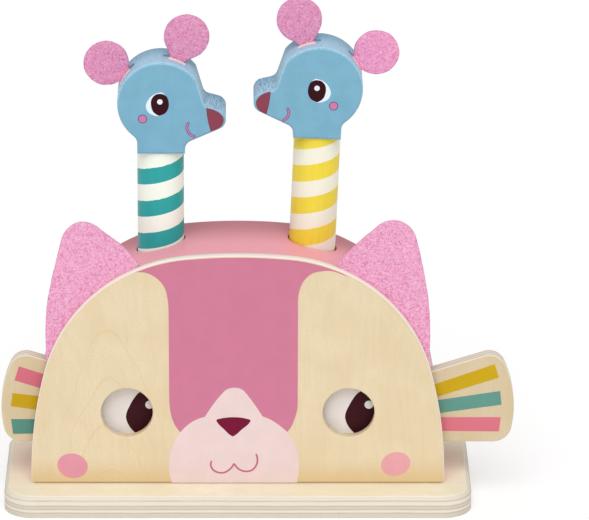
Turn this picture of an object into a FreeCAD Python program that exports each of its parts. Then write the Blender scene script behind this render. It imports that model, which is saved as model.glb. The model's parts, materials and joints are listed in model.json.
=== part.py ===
import FreeCAD
import Part
import math
import os
from FreeCAD import Vector

# Pop up animal toy: a cat-faced arched box on a plywood board.  Two mice on striped pegs spring out
# of its back, and a sliding plate behind the face moves the cat's eyes and its two side paddles.
# Millimetres.  Origin: centre of the board's underside.  The face looks along -Y, +Z is up.

os.makedirs("parts", exist_ok=True)

# ---- driving dimensions -----------------------------------------------------------------------
# board
base_length = 250.0
base_depth = 100.0
base_thickness = 12.0
base_corner_radius = 16.0
base_top_edge = 2.4             # bevel round the top
base_foot_edge = 0.5            # bevel under the board

# cat face panel and the arched body behind it
front_margin = 20.0             # bare board in front of the face panel
body_depth = 60.0               # face panel and cover together
panel_width = 221.0
panel_height = 129.3
panel_thickness = 5.0
panel_edge = 0.6                # bevel round the front
panel_foot_radius = 2.5
arch_shoulder_radius = 86.2
arch_crown_sweep = 5.7          # degrees of the flat crown arc, each side of the middle
arch_side_sweep = 15.5          # degrees of the slow arc that ends upright at the foot
arch_foot_rise = 5.9            # upright stretch at the foot
cover_inset = 0.9               # the cover's skin lies this far inside the face panel's outline
cover_thickness = 4.5
back_panel_thickness = 5.0
back_panel_recess = 1.5
divider_thickness = 3.0
glue_gap = 0.05                 # between flat pieces that are glued inside the cover

# eye windows
eye_spacing = 118.3
eye_height = 40.5               # window centre above the board
eye_radius = 13.8
eye_edge = 0.5                  # bevel round the window

# eye slider
slider_length = 274.4
slider_thickness = 9.0
slider_rest_offset = 10.6       # the slider stands this far right of centre at rest
slider_below_eye = 6.1          # plate below the window's lowest point
slider_above_eye = 2.65
slider_clearance = 0.3
slider_edge = 0.6               # bevel round both faces
flare_start = 81.0              # where the top edge starts to rise towards the paddle
flare_angle = 17.7
flare_blend_radius = 30.0
paddle_end_radius = 57.5
paddle_top_radius = 9.0
paddle_bottom_radius = 10.0
stop_pin_diameter = 6.0
stop_pin_clearance = 0.3
strip_overlap = 2.5             # how far the upper front strip laps the slider's plate
strip_below_eye = 1.0           # the lower front strip stops this far under the window
strip_half_length = 62.0
upper_rail_height = 9.0
# felt ears of the cat
cat_felt = 3.0
felt_gap = 0.2
cat_ear_tip_x = 82.3
cat_ear_tip_height = 134.8      # centre of the rounded tip above the board
cat_ear_tip_radius = 13.1
cat_ear_side_radius = 230.0
cat_ear_side_inset = 8.2        # the bulging side's outermost point, inside the panel's widest
cat_ear_inner_x = 53.0          # where the straight side leaves the arch
cat_ear_tuck = 9.0              # felt hidden below the panel's outline
cat_ear_foot_height = 60.0      # lower end above the board
ear_slot_end = 2.0              # open slot beyond the ear's inner end

# pegs and what guides them
peg_diameter = 24.8
left_peg_x = -41.1
right_peg_x = 39.8
left_peg_rise = 53.5            # mouse's underside above the cover at the peg's axis
right_peg_rise = 61.5
right_peg_lean = 2.3            # degrees, to the right
cover_hole_play = 0.7
guide_hole_play = 1.2
press_travel = 40.0             # down to where the collar screw meets the spring's post
shelf_thickness = 6.0
shelf_height = 84.0             # underside above the board
shelf_half_length = 80.0
collar_side = 31.5              # square, so that the walls beside it keep the mouse facing ahead
collar_thickness = 5.0
collar_stop_gap = 0.1
collar_screw_diameter = 3.5
collar_screw_length = 24.0
collar_screw_head = 8.0
collar_screw_head_height = 2.4
dowel_diameter = 8.0
dowel_length = 26.0
dowel_gap = 0.05

# springs
spring_diameter = 22.0          # outside
spring_wire = 1.4
spring_turns = 5
spring_bars = 8                 # straight bars that a turn is drawn with
spring_wire_sides = 4
spring_seat_gap = 0.2
spring_post_side = 12.0         # square stick inside the spring
spring_post_clearance = 1.0     # left under the collar screw at full press

# mouse heads; lengths from the peg's axis towards the nose, heights from the head's underside
head_thickness = 28.0
head_edge = 1.2                 # bevel round both faces
skull_radius = 23.0
skull_forward = 0.4
skull_height = 27.6
nose_radius = 5.6
nose_forward = 29.2
nose_height = 19.0
snout_top_slope = -15.0
snout_chin_slope = 24.0
forehead_depth = 21.6           # skull's centre to the flat forehead between brow ear and snout
forehead_tilt = 16.5            # degrees that the forehead leans back
neck_width = 25.4
neck_forward = 0.5
neck_blend_radius = 5.0
brow_blend_radius = 4.5

# felt ears of the mice
mouse_felt = 3.0
mouse_ear_radius = 12.0
mouse_ear_neck = 8.6
mouse_ear_flare = 18.0          # width where the neck has widened into the disc
mouse_ear_tuck = 7.0            # felt inside the head's slot
left_brow_ear_angle = 67.7      # about the skull's centre, from the nose side upwards
right_brow_ear_angle = 70.6
brow_ear_reach = 36.0           # skull centre to ear centre
left_rear_ear_angle = 147.0
right_rear_ear_angle = 149.3
rear_ear_reach = 34.4
ear_slot_play = 0.3
ear_slot_run = 3.0              # open slot beyond the ear's foot, towards the crown

# glue blocks and board screws
block_size = 15.0
block_spacing = 150.0
board_screw_diameter = 4.0
board_screw_length = 24.0
board_screw_head = 8.0
screw_gap = 0.05

same_place = 1e-3               # lengths closer than this count as equal when edges are picked

# ---- places that follow from them -------------------------------------------------------------
board_top = base_thickness
panel_front_y = -base_depth / 2 + front_margin
panel_back_y = panel_front_y + panel_thickness
cover_back_y = panel_front_y + body_depth
back_panel_back_y = cover_back_y - back_panel_recess
back_panel_front_y = back_panel_back_y - back_panel_thickness

slider_front_y = panel_back_y + cat_felt + 2 * felt_gap + slider_clearance
slider_back_y = slider_front_y + slider_thickness
divider_front_y = slider_back_y + slider_clearance
divider_back_y = divider_front_y + divider_thickness
peg_y = (divider_back_y + back_panel_front_y) / 2

eye_z = board_top + eye_height
slider_bottom = eye_z - eye_radius - slider_below_eye
slider_top = eye_z + eye_radius + slider_above_eye
shelf_bottom = board_top + shelf_height
inner_inset = cover_inset + cover_thickness
block_places = (-block_spacing / 2, block_spacing / 2)
UP = Vector(0, 0, 1)
ALONG_Y = Vector(0, 1, 0)


# The arch: crown, shoulder and side arcs, tangent to each other.  With their sweeps and the
# shoulder's radius set, the crown's and the side's radii follow from the panel's width and height.
crown_turn = math.radians(arch_crown_sweep)
side_turn = math.radians(90 - arch_side_sweep)
arch_rise = panel_height - arch_foot_rise
wide = panel_width / 2 - arch_shoulder_radius * (math.sin(side_turn) - math.sin(crown_turn))
high = arch_rise - arch_shoulder_radius * (math.cos(crown_turn) - math.cos(side_turn))
spread = math.sin(crown_turn) * math.cos(side_turn) - (
    1 - math.sin(side_turn)) * (1 - math.cos(crown_turn))
crown_radius = (wide * math.cos(side_turn) - high * (1 - math.sin(side_turn))) / spread
side_radius = (high * math.sin(crown_turn) - wide * (1 - math.cos(crown_turn))) / spread
crown_centre = Vector(0, 0, board_top + panel_height - crown_radius)
shoulder_centre = crown_centre + Vector(math.sin(crown_turn), 0, math.cos(crown_turn)) * (
    crown_radius - arch_shoulder_radius)
side_centre = Vector(panel_width / 2 - side_radius, 0, board_top + arch_foot_rise)


# ---- shared shapes ----------------------------------------------------------------------------
def on_arc(centre, radius, turn, y=0.0):
    """Point at an angle from straight up, towards +X."""
    return Vector(centre.x + radius * math.sin(turn), y, centre.z + radius * math.cos(turn))


def arch_height(x, inset=0.0):
    """Height above the frame's zero of the arch's outline at x."""
    reach = abs(x)
    centre, radius = side_centre, side_radius - inset
    if reach <= on_arc(crown_centre, crown_radius - inset, crown_turn).x:
        centre, radius = crown_centre, crown_radius - inset
    elif reach <= on_arc(shoulder_centre, arch_shoulder_radius - inset, side_turn).x:
        centre, radius = shoulder_centre, arch_shoulder_radius - inset
    return centre.z + math.sqrt(radius ** 2 - (reach - centre.x) ** 2)


def arch(inset, y0, y1):
    """Solid under the arch's outline, moved inwards by inset, from y0 to y1."""
    arcs = ((side_centre, side_radius - inset, math.pi / 2, side_turn),
            (shoulder_centre, arch_shoulder_radius - inset, side_turn, crown_turn))
    right = []
    for centre, radius, start, end in arcs:
        right.append([on_arc(centre, radius, turn, y0) for turn in (start, (start + end) / 2, end)])
    left = [[Vector(-p.x, p.y, p.z) for p in reversed(arc)] for arc in reversed(right)]
    crown = [right[-1][2], on_arc(crown_centre, crown_radius - inset, 0, y0), left[0][0]]
    foot_right = Vector(right[0][0].x, y0, board_top)
    foot_left = Vector(-foot_right.x, y0, board_top)
    edges = [Part.Arc(*arc).toShape() for arc in right + [crown] + left]
    edges += [Part.makeLine(left[-1][2], foot_left), Part.makeLine(foot_left, foot_right),
              Part.makeLine(foot_right, right[0][0])]
    return Part.Face(Part.Wire(edges)).extrude(Vector(0, y1 - y0, 0))


def box(x0, x1, y0, y1, z0, z1):
    return Part.makeBox(x1 - x0, y1 - y0, z1 - z0, Vector(x0, y0, z0))


def rod(radius, length, x, y, z, axis=UP):
    return Part.makeCylinder(radius, length, Vector(x, y, z), axis)


def edges_where(shape, test):
    return [edge for edge in shape.Edges if test(edge)]


def lies_in_y(edge, y):
    bounds = edge.BoundBox
    return abs(bounds.YMin - y) < same_place and abs(bounds.YMax - y) < same_place


def runs_along_y(edge, z=None):
    """Whether an edge is parallel to Y, and at the height z where one is given."""
    bounds = edge.BoundBox
    if bounds.XLength > same_place or bounds.ZLength > same_place:
        return False
    return z is None or abs(bounds.ZMin - z) < same_place


def save(name, shape):
    shape.exportStep(f"parts/{name}.step")


# ---- board ------------------------------------------------------------------------------------
def base_board():
    board = box(-base_length / 2, base_length / 2, -base_depth / 2, base_depth / 2, 0, base_thickness)
    upright = edges_where(board, lambda e: e.BoundBox.ZLength > base_thickness / 2)
    board = board.makeFillet(base_corner_radius, upright)
    top = edges_where(board, lambda e: e.BoundBox.ZMin > base_thickness - same_place)
    board = board.makeChamfer(base_top_edge, top)
    bottom = edges_where(board, lambda e: e.BoundBox.ZMax < same_place)
    board = board.makeChamfer(base_foot_edge, bottom)
    for x in block_places:
        board = board.cut(countersunk_screw(x, screw_gap))
    return board


def countersunk_screw(x, gap=0.0):
    """Flat-head wood screw driven up from the board's underside, head flush."""
    shank = board_screw_diameter / 2 + gap
    head = board_screw_head / 2 + gap
    cone = Part.makeCone(head, shank, head - shank, Vector(x, peg_y, 0), UP)
    return cone.fuse(rod(shank, board_screw_length + gap, x, peg_y, 0)).removeSplitter()


def base_screws():
    return Part.makeCompound([countersunk_screw(x) for x in block_places])


def glue_block(x):
    """Block from the divider to the back panel, screwed to the board from below."""
    block = box(x - block_size / 2, x + block_size / 2, divider_back_y, back_panel_front_y,
                board_top, board_top + block_size)
    return block.cut(countersunk_screw(x, screw_gap))


# ---- arched body ------------------------------------------------------------------------------
def front_panel():
    panel = arch(0, panel_front_y, panel_back_y)
    feet = edges_where(panel, lambda e: runs_along_y(e, board_top))
    panel = panel.makeFillet(panel_foot_radius, feet)
    rim = edges_where(panel, lambda e: lies_in_y(e, panel_front_y))
    panel = panel.makeChamfer(panel_edge, rim)
    for x in (-eye_spacing / 2, eye_spacing / 2):
        panel = panel.cut(rod(eye_radius, panel_thickness, x, panel_front_y, eye_z, ALONG_Y))
    rims = edges_where(panel, lambda e: lies_in_y(e, panel_front_y) and hasattr(e.Curve, "Radius"))
    rims = [e for e in rims if abs(e.Curve.Radius - eye_radius) < same_place]
    return panel.makeChamfer(eye_edge, rims)


def cover_hole(x):
    top = board_top + panel_height
    return rod(peg_diameter / 2 + cover_hole_play, top, x, peg_y, board_top)


def arch_cover():
    cover = arch(cover_inset, panel_back_y, cover_back_y)
    cover = cover.cut(arch(inner_inset, panel_back_y, cover_back_y))
    for x in (left_peg_x, right_peg_x):
        cover = cover.cut(cover_hole(x))
    felt_back_y = panel_back_y + cat_felt + 2 * felt_gap
    paddle_top = slider_top + (slider_length / 2 - flare_start) * math.tan(math.radians(flare_angle))
    inner, outer = cat_ear_inner_x - ear_slot_end, panel_width / 2
    for x0, x1 in ((inner, outer), (-outer, -inner)):
        for back_y, top in ((felt_back_y, board_top + panel_height), (divider_front_y, paddle_top)):
            cover = cover.cut(box(x0, x1, panel_back_y, back_y, slider_bottom - slider_clearance, top))
    return cover


def back_panel():
    return arch(inner_inset + glue_gap, back_panel_front_y, back_panel_back_y)


def divider_panel():
    panel = arch(inner_inset + glue_gap, divider_front_y, divider_back_y)
    hole = rod(stop_pin_diameter / 2, divider_thickness, 0, divider_front_y, eye_z, ALONG_Y)
    return panel.cut(hole)


def peg_guide_shelf():
    shelf = box(-shelf_half_length, shelf_half_length, divider_back_y, back_panel_front_y,
                shelf_bottom, shelf_bottom + shelf_thickness)
    for x, lean in ((left_peg_x, 0.0), (right_peg_x, right_peg_lean)):
        hole_x = axis_x(x, lean, shelf_bottom + shelf_thickness / 2)
        hole = rod(peg_diameter / 2 + guide_hole_play, shelf_thickness, hole_x, peg_y, shelf_bottom)
        shelf = shelf.cut(hole)
    return shelf


# ---- eye slider and its track -----------------------------------------------------------------
def slider_outline_points():
    """Corners of the right half, from the slider's own centre."""
    centre_x = slider_length / 2 - paddle_end_radius
    drop = eye_z - slider_bottom
    low_x = centre_x + math.sqrt(paddle_end_radius ** 2 - drop ** 2)
    slope = math.tan(math.radians(flare_angle))
    # the flared top edge meets the end arc: solve |p - centre| = radius along the edge
    base = slider_top - flare_start * slope - eye_z
    qa = 1 + slope ** 2
    qb = 2 * (base * slope - centre_x)
    qc = centre_x ** 2 + base ** 2 - paddle_end_radius ** 2
    high_x = (-qb + math.sqrt(qb ** 2 - 4 * qa * qc)) / (2 * qa)
    high_z = slider_top + (high_x - flare_start) * slope
    tip_x = centre_x + paddle_end_radius
    return low_x, high_x, high_z, tip_x


def eye_slider():
    low_x, high_x, high_z, tip_x = slider_outline_points()
    y = slider_front_y
    right = [Vector(low_x, y, slider_bottom), Vector(tip_x, y, eye_z), Vector(high_x, y, high_z),
             Vector(flare_start, y, slider_top)]
    left = [Vector(-p.x, p.y, p.z) for p in right]
    edges = [
        Part.makeLine(left[0], right[0]),
        Part.Arc(right[0], right[1], right[2]).toShape(),
        Part.makeLine(right[2], right[3]),
        Part.makeLine(right[3], left[3]),
        Part.makeLine(left[3], left[2]),
        Part.Arc(left[2], left[1], left[0]).toShape(),
    ]
    plate = Part.Face(Part.Wire(edges)).extrude(Vector(0, slider_thickness, 0))
    for z, radius in ((slider_bottom, paddle_bottom_radius), (high_z, paddle_top_radius),
                      (slider_top, flare_blend_radius)):
        plate = plate.makeFillet(radius, edges_where(plate, lambda e: runs_along_y(e, z)))
    for y in (slider_front_y, slider_back_y):
        plate = plate.makeChamfer(slider_edge, edges_where(plate, lambda e: lies_in_y(e, y)))
    slot_radius = stop_pin_diameter / 2 + stop_pin_clearance
    slot = box(-slider_rest_offset, slider_rest_offset, slider_front_y, slider_back_y,
               eye_z - slot_radius, eye_z + slot_radius)
    for x in (-slider_rest_offset, slider_rest_offset):
        slot = slot.fuse(rod(slot_radius, slider_thickness, x, slider_front_y, eye_z, ALONG_Y))
    plate = plate.cut(slot.removeSplitter())
    plate.translate(Vector(slider_rest_offset, 0, 0))
    return plate


def slider_stop_pin():
    length = divider_back_y - panel_back_y - felt_gap
    pin = rod(stop_pin_diameter / 2, length, 0, panel_back_y + felt_gap, eye_z, ALONG_Y)
    return pin


def slider_rail_lower():
    return box(-strip_half_length, strip_half_length, strip_back_y(), divider_front_y,
               board_top, slider_bottom - slider_clearance)


def strip_back_y():
    return slider_front_y - slider_clearance


def slider_rail_upper():
    return box(-strip_half_length, strip_half_length, strip_back_y(), divider_front_y,
               slider_top + slider_clearance, slider_top + slider_clearance + upper_rail_height)


def front_strip_lower():
    top = eye_z - eye_radius - strip_below_eye
    return box(-strip_half_length, strip_half_length, panel_back_y, strip_back_y(), board_top, top)


def front_strip_upper():
    return box(-strip_half_length, strip_half_length, panel_back_y, strip_back_y(),
               slider_top - strip_overlap, slider_top + slider_clearance + upper_rail_height)


# ---- cat ears ---------------------------------------------------------------------------------
def cat_ear(side):
    y = panel_back_y + felt_gap
    # the tip stays inside the bulging side's outermost point
    widest_tip_x = panel_width / 2 - cat_ear_side_inset - cat_ear_tip_radius
    tip = Vector(min(cat_ear_tip_x, widest_tip_x), y, board_top + cat_ear_tip_height)
    # straight inner side: tangent to the tip from the point where the ear leaves the arch
    start = Vector(cat_ear_inner_x, y, arch_height(cat_ear_inner_x))
    to_tip = tip - start
    reach = to_tip.Length
    angle = math.atan2(to_tip.z, to_tip.x) + math.asin(cat_ear_tip_radius / reach)
    inner_side = Vector(math.cos(angle), 0, math.sin(angle))
    inner_end = start + inner_side * math.sqrt(reach ** 2 - cat_ear_tip_radius ** 2)
    # bulging outer side: a large arc that the tip's circle touches from inside
    centre_x = panel_width / 2 - cat_ear_side_inset - cat_ear_side_radius
    gap = cat_ear_side_radius - cat_ear_tip_radius
    centre = Vector(centre_x, y, tip.z - math.sqrt(gap ** 2 - (tip.x - centre_x) ** 2))
    outward = (tip - centre).normalize()
    outer_end = tip + outward * cat_ear_tip_radius
    low_angle = math.asin((board_top + cat_ear_foot_height - centre.z) / cat_ear_side_radius)
    mid_angle = (low_angle + math.atan2(outward.z, outward.x)) / 2
    mid = centre + Vector(math.cos(mid_angle), 0, math.sin(mid_angle)) * cat_ear_side_radius
    low = centre + Vector(math.cos(low_angle), 0, math.sin(low_angle)) * cat_ear_side_radius
    crown = tip + Vector(0, 0, cat_ear_tip_radius)
    edges = [
        Part.makeLine(start, inner_end),
        Part.Arc(inner_end, crown, outer_end).toShape(),
        Part.Arc(outer_end, mid, low).toShape(),
        Part.makeLine(low, start),
    ]
    ear = Part.Face(Part.Wire(edges)).extrude(Vector(0, cat_felt, 0))
    ear = ear.cut(arch(cat_ear_tuck, y, y + cat_felt))
    if side < 0:
        ear = ear.mirror(Vector(0, 0, 0), Vector(1, 0, 0))
    return ear


# ---- mice on pegs -----------------------------------------------------------------------------
def cover_top_at(x):
    return arch_height(x, cover_inset)


def peg_axis(lean):
    angle = math.radians(lean)
    return Vector(math.sin(angle), 0, math.cos(angle))


def axis_x(x, lean, z):
    """Where a peg's axis, which leaves the cover at x, passes the height z."""
    return x - (cover_top_at(x) - z) * math.tan(math.radians(lean))


def stand(shape, x, rise, lean, faces_left):
    """Put a shape, drawn about the head's underside on the peg's axis, in its place."""
    placed = shape.mirror(Vector(0, 0, 0), Vector(1, 0, 0)) if faces_left else shape.copy()
    placed.rotate(Vector(0, 0, 0), ALONG_Y, lean)
    seat = Vector(x, peg_y, cover_top_at(x)) + peg_axis(lean) * rise
    placed.translate(seat)
    return placed


def peg_length(x, rise, lean):
    """Head's underside to the foot collar, which stops just under the guide shelf."""
    tilt_drop = collar_side / 2 * math.sin(math.radians(lean))
    collar_top = shelf_bottom - collar_stop_gap - tilt_drop
    return rise + (cover_top_at(x) - collar_top) / math.cos(math.radians(lean))


def peg(length):
    body = rod(peg_diameter / 2, length, 0, 0, -length)
    body = body.cut(rod(dowel_diameter / 2 + dowel_gap, dowel_length / 2 + dowel_gap, 0, 0,
                        -dowel_length / 2 - dowel_gap))
    pilot = collar_screw_length - collar_thickness + screw_gap
    return body.cut(rod(collar_screw_diameter / 2 + screw_gap, pilot, 0, 0, -length))


def foot_collar(length):
    """Square plate under the peg: wider than the guide hole, and too wide to turn in the spring bay."""
    half = collar_side / 2
    low = -length - collar_thickness
    plate = box(-half, half, -half, half, low, -length)
    return plate.cut(rod(collar_screw_diameter / 2 + screw_gap, collar_thickness, 0, 0, low))


def collar_screw(length):
    seat = -length - collar_thickness
    shank = rod(collar_screw_diameter / 2, collar_screw_length, 0, 0, seat)
    head = rod(collar_screw_head / 2, collar_screw_head_height, 0, 0, seat - collar_screw_head_height)
    return shank.fuse(head).removeSplitter()


def neck_dowel():
    return rod(dowel_diameter / 2, dowel_length, 0, 0, -dowel_length / 2)


def slab(wire):
    """Extrude a profile drawn in the XZ plane to the head's thickness, centred on the peg."""
    solid = Part.Face(wire).extrude(Vector(0, head_thickness, 0))
    solid.translate(Vector(0, -head_thickness / 2, 0))
    return solid


def mouse_head(brow_ear_angle, rear_ear_angle):
    y0 = -head_thickness / 2
    skull = rod(skull_radius, head_thickness, skull_forward, y0, skull_height, ALONG_Y)
    brow_cut = box(forehead_depth, skull_radius, y0, -y0, -skull_radius, skull_radius)
    skull = skull.cut(on_skull(brow_cut, forehead_tilt))
    nose = rod(nose_radius, head_thickness, nose_forward, y0, nose_height, ALONG_Y)
    tip = Vector(nose_forward, 0, nose_height)
    top_angle = math.radians(90 + snout_top_slope)
    chin_angle = math.radians(snout_chin_slope - 90)
    top_tip = tip + Vector(math.cos(top_angle), 0, math.sin(top_angle)) * nose_radius
    chin_tip = tip + Vector(math.cos(chin_angle), 0, math.sin(chin_angle)) * nose_radius
    neck_right = neck_forward + neck_width / 2
    neck_left = neck_forward - neck_width / 2
    along_top = Vector(1, 0, math.tan(math.radians(snout_top_slope)))
    along_chin = Vector(1, 0, math.tan(math.radians(snout_chin_slope)))
    top_root = top_tip - along_top * (top_tip.x - skull_forward)
    chin_root = chin_tip - along_chin * (chin_tip.x - neck_forward)
    snout = slab(Part.makePolygon([top_tip, top_root, chin_root, chin_tip, top_tip]))
    neck = box(neck_left, neck_right, y0, -y0, 0, skull_height)
    head = skull.fuse([nose, snout, neck]).removeSplitter()
    for radius, low, high in ((neck_blend_radius, 0, nose_height),
                              (brow_blend_radius, nose_height, top_root.z)):
        joins = edges_where(head, lambda e: is_head_join(e, low, high))
        head = head.makeFillet(radius, joins)
    for y in (y0, -y0):
        rim = edges_where(head, lambda e: lies_in_y(e, y))
        head = head.makeChamfer(head_edge, rim)
    for angle in (brow_ear_angle, rear_ear_angle):
        head = head.cut(ear_slot(angle))
    return head.cut(rod(dowel_diameter / 2 + dowel_gap, dowel_length / 2 + dowel_gap, 0, 0, 0))


def is_head_join(edge, low, high):
    """Whether an edge is a hollow corner of the head's profile: on skull, forehead or neck side."""
    x, z = edge.BoundBox.XMin, edge.BoundBox.ZMin
    if not runs_along_y(edge) or z <= low + same_place or z >= high:
        return False
    tilt = math.radians(forehead_tilt)
    from_skull = Vector(x - skull_forward, 0, z - skull_height)
    depth = from_skull.x * math.cos(tilt) + from_skull.z * math.sin(tilt)
    on_forehead = abs(depth - forehead_depth) < same_place
    on_skull_rim = abs(from_skull.Length - skull_radius) < same_place
    on_neck_side = abs(abs(x - neck_forward) - neck_width / 2) < same_place
    return on_forehead or on_skull_rim or on_neck_side


def on_skull(shape, angle):
    """Turn a shape drawn along +X from the skull's centre to an angle above the nose's side."""
    shape.rotate(Vector(0, 0, 0), ALONG_Y, -angle)
    shape.translate(Vector(skull_forward, 0, skull_height))
    return shape


def ear_slot(angle):
    """Slot for an ear's foot.  It runs on towards the crown, which stands straight above the skull."""
    floor = skull_radius - mouse_ear_tuck - ear_slot_play
    half_foot = mouse_ear_neck / 2 + ear_slot_play
    low, high = (-half_foot, half_foot + ear_slot_run)
    if angle > 90:
        low, high = -high, -low
    half_felt = mouse_felt / 2 + ear_slot_play
    slot = box(floor, skull_radius, -half_felt, half_felt, low, high)
    return on_skull(slot, angle)


def mouse_ear(angle, reach):
    y0 = -mouse_felt / 2
    disc = rod(mouse_ear_radius, mouse_felt, reach, y0, 0, ALONG_Y)
    half_neck = mouse_ear_neck / 2
    half_flare = mouse_ear_flare / 2
    neck = box(skull_radius - mouse_ear_tuck, reach, y0, -y0, -half_neck, half_neck)
    root_x = skull_radius + ear_slot_play
    flare_x = reach - math.sqrt(mouse_ear_radius ** 2 - half_flare ** 2)
    corners = [Vector(root_x, y0, -half_neck), Vector(flare_x, y0, -half_flare),
               Vector(flare_x, y0, half_flare), Vector(root_x, y0, half_neck)]
    flare = Part.Face(Part.makePolygon(corners + corners[:1])).extrude(Vector(0, mouse_felt, 0))
    return on_skull(disc.fuse([neck, flare]).removeSplitter(), angle)


# ---- springs ----------------------------------------------------------------------------------
def collar_underside(lean):
    """Lowest height of the foot collar's underside at rest."""
    tilt_drop = collar_side * math.sin(math.radians(lean))
    return shelf_bottom - collar_stop_gap - tilt_drop - collar_thickness


def spring(x, lean):
    """Coil of straight bars between sections that stand upright across the wire."""
    coil_radius = (spring_diameter - spring_wire) / 2
    height = collar_underside(lean) - spring_seat_gap - board_top - spring_wire
    count = spring_turns * spring_bars
    sections = []
    for i in range(count + 1):
        turn = 2 * math.pi * i / spring_bars
        corners = []
        for k in range(spring_wire_sides + 1):
            corner = 2 * math.pi * k / spring_wire_sides
            radius = coil_radius + spring_wire / 2 * math.cos(corner)
            z = height * i / count + spring_wire / 2 * math.sin(corner)
            corners.append(Vector(radius * math.cos(turn), radius * math.sin(turn), z))
        sections.append(Part.makePolygon(corners))
    coil = Part.makeLoft(sections, True, True)
    coil.translate(Vector(axis_x(x, lean, shelf_bottom), peg_y, board_top + spring_wire / 2))
    return coil


def spring_post(x, lean):
    """Post inside the spring that also stops the peg at the end of its travel."""
    screw_low = collar_underside(lean) - collar_screw_head_height - press_travel
    middle = axis_x(x, lean, shelf_bottom)
    half = spring_post_side / 2
    top = screw_low - spring_post_clearance
    return box(middle - half, middle + half, peg_y - half, peg_y + half, board_top, top)


# ---- write every piece ------------------------------------------------------------------------
def main():
    save("base_board", base_board())
    save("base_screws", base_screws())
    save("front_panel", front_panel())
    save("arch_cover", arch_cover())
    save("back_panel", back_panel())
    save("divider_panel", divider_panel())
    save("peg_guide_shelf", peg_guide_shelf())
    for side, x in zip(("left", "right"), block_places):
        save(f"glue_block_{side}", glue_block(x))
    save("slider_rail_lower", slider_rail_lower())
    save("slider_rail_upper", slider_rail_upper())
    save("front_strip_lower", front_strip_lower())
    save("front_strip_upper", front_strip_upper())
    save("slider_stop_pin", slider_stop_pin())
    save("eye_slider", eye_slider())
    save("cat_ear_left", cat_ear(-1))
    save("cat_ear_right", cat_ear(1))

    mice = (
        ("left", left_peg_x, left_peg_rise, 0.0, False, left_brow_ear_angle, left_rear_ear_angle),
        ("right", right_peg_x, right_peg_rise, right_peg_lean, True, right_brow_ear_angle,
         right_rear_ear_angle),
    )
    for side, x, rise, lean, faces_left, brow_ear_angle, rear_ear_angle in mice:
        length = peg_length(x, rise, lean)
        pieces = {
            "mouse_head": mouse_head(brow_ear_angle, rear_ear_angle),
            "mouse_brow_ear": mouse_ear(brow_ear_angle, brow_ear_reach),
            "mouse_rear_ear": mouse_ear(rear_ear_angle, rear_ear_reach),
            "neck_dowel": neck_dowel(),
            "peg": peg(length),
            "foot_collar": foot_collar(length),
            "collar_screw": collar_screw(length),
        }
        for name, shape in pieces.items():
            save(f"{name}_{side}", stand(shape, x, rise, lean, faces_left))
        save(f"spring_{side}", spring(x, lean))
        save(f"spring_post_{side}", spring_post(x, lean))


main()
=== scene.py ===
"""Looks of the pop up animal toy: finishes, prints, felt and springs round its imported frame.

Sizes and places of what is printed or made here are in millimetres, in the frame's own axes.
"""

import json
import math

import bmesh
import bpy
from mathutils import Matrix, Vector, noise
from mathutils.geometry import interpolate_bezier, tessellate_polygon


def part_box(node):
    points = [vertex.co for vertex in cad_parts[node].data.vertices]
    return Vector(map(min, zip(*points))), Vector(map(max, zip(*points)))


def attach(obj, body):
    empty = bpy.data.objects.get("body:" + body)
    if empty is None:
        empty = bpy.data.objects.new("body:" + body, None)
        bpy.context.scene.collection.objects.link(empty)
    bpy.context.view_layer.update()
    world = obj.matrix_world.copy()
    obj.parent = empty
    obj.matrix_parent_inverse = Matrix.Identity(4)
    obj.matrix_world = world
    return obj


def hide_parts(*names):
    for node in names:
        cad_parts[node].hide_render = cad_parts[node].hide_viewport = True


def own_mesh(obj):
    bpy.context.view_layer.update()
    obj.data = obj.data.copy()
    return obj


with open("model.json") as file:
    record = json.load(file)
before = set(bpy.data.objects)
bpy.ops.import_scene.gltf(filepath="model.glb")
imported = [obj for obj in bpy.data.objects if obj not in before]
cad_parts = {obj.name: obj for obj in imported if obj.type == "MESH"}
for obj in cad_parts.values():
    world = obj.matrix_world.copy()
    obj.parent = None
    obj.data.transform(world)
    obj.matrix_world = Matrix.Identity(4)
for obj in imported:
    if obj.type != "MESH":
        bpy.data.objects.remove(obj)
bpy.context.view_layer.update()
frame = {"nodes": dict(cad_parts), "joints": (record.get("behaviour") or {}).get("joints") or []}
nodes = frame["nodes"]

MM = 0.001
X, Y, Z = 0, 1, 2
LEFT, RIGHT = -1, 1
SIDE_NAMES = {LEFT: "left", RIGHT: "right"}


def box_mm(node):
    """Lowest and highest corner of a CAD node, in millimetres."""
    low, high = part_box(node)
    return low / MM, high / MM


def joint(name):
    return next(entry for entry in frame["joints"] if entry["name"] == name)


def travel_mm(joint_name):
    """How far a joint lets its body go from rest."""
    return -joint(joint_name)["range_m"][0] / MM


def peg_lean(side_name):
    """How far a peg leans to the right, in radians."""
    axis = joint(f"{side_name}_mouse_press")["axis"]
    return math.atan2(axis[0], axis[2])


# ---- camera
camera_elevation = 19.5  # degrees above the floor
camera_place = (0, -2.6214, 1.0568)
camera_lens = 318.3
camera_shift = 0.0962  # the toy stands left of the picture's middle
camera_reach = 30  # metres that it sees


def make_camera():
    data = bpy.data.cameras.new("camera")
    data.lens = camera_lens
    data.shift_x = camera_shift
    data.clip_end = camera_reach
    camera = bpy.data.objects.new("camera", data)
    camera.location = camera_place
    camera.rotation_euler = (math.radians(90 - camera_elevation), 0, 0)
    bpy.context.scene.collection.objects.link(camera)
    bpy.context.scene.camera = camera


# ---- colours and node graphs
def linear(channel):
    """One sRGB channel of 0 to 255 as linear light."""
    share = channel / 255
    return share / 12.92 if share <= 0.04045 else ((share + 0.055) / 1.055) ** 2.4


def rgb(red, green, blue):
    """A screen colour of 0 to 255 as the linear colour that a socket takes."""
    return (linear(red), linear(green), linear(blue), 1)


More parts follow.
